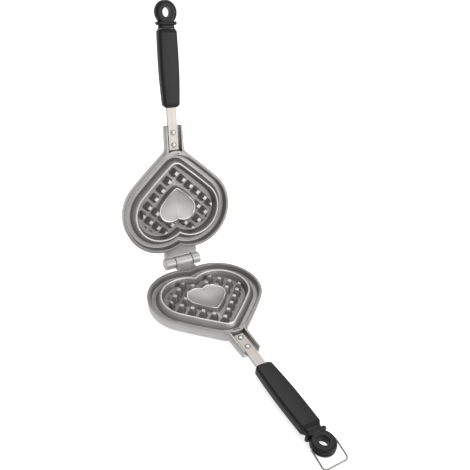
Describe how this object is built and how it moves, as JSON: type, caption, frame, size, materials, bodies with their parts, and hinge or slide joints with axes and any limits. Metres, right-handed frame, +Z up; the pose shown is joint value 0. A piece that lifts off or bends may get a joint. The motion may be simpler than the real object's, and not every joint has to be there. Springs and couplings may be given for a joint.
{
  "type": "stovetop waffle iron",
  "caption": "Hinged cast aluminium stovetop waffle iron with heart-shaped pans, riveted steel straps, black grips with hanging rings and a wire bail that latches it shut.",
  "frame": {"origin": "middle of the lower pan's flat bottom, midway between the two lobes of the heart", "axes": "+Z up out of the lower pan, X along the hinge, +Y towards the hinge and the raised upper pan, -Y along the lower handle"},
  "size_m": [0.1544, 0.4231, 0.3412],
  "materials": {
    "cast_aluminium": "matte as cast, with worn bright edges",
    "strap_steel": "bright rolled steel",
    "rivet_steel": "bright domed heads",
    "pin_steel": "plain turned steel",
    "grip_plastic": "satin black moulded phenolic",
    "bail_wire": "drawn spring wire"
  },
  "bodies": {
    "lower_half": {"lower_plate": "cast_aluminium", "lower_strap": "strap_steel", "lower_front_rivet": "rivet_steel", "lower_rear_rivet": "rivet_steel", "lower_grip": "grip_plastic", "lower_end_ring": "grip_plastic"},
    "upper_half": {"upper_plate": "cast_aluminium", "hinge_pin": "pin_steel", "upper_strap": "strap_steel", "upper_front_rivet": "rivet_steel", "upper_rear_rivet": "rivet_steel", "upper_grip": "grip_plastic", "upper_end_ring": "grip_plastic"},
    "bail": {"latch_bail": "bail_wire"}
  },
  "joints": [
    {"name": "pan_hinge", "type": "hinge", "parent": "lower_half", "child": "upper_half", "pos_m": [0, 0.0728, 0.016], "axis": [1, 0, 0], "range_deg": [0, 102]},
    {"name": "bail_swing", "type": "hinge", "parent": "lower_half", "child": "bail", "pos_m": [0, -0.2472, 0.0094], "axis": [-1, 0, 0], "range_deg": [-148.5, 128.5]}
  ]
}
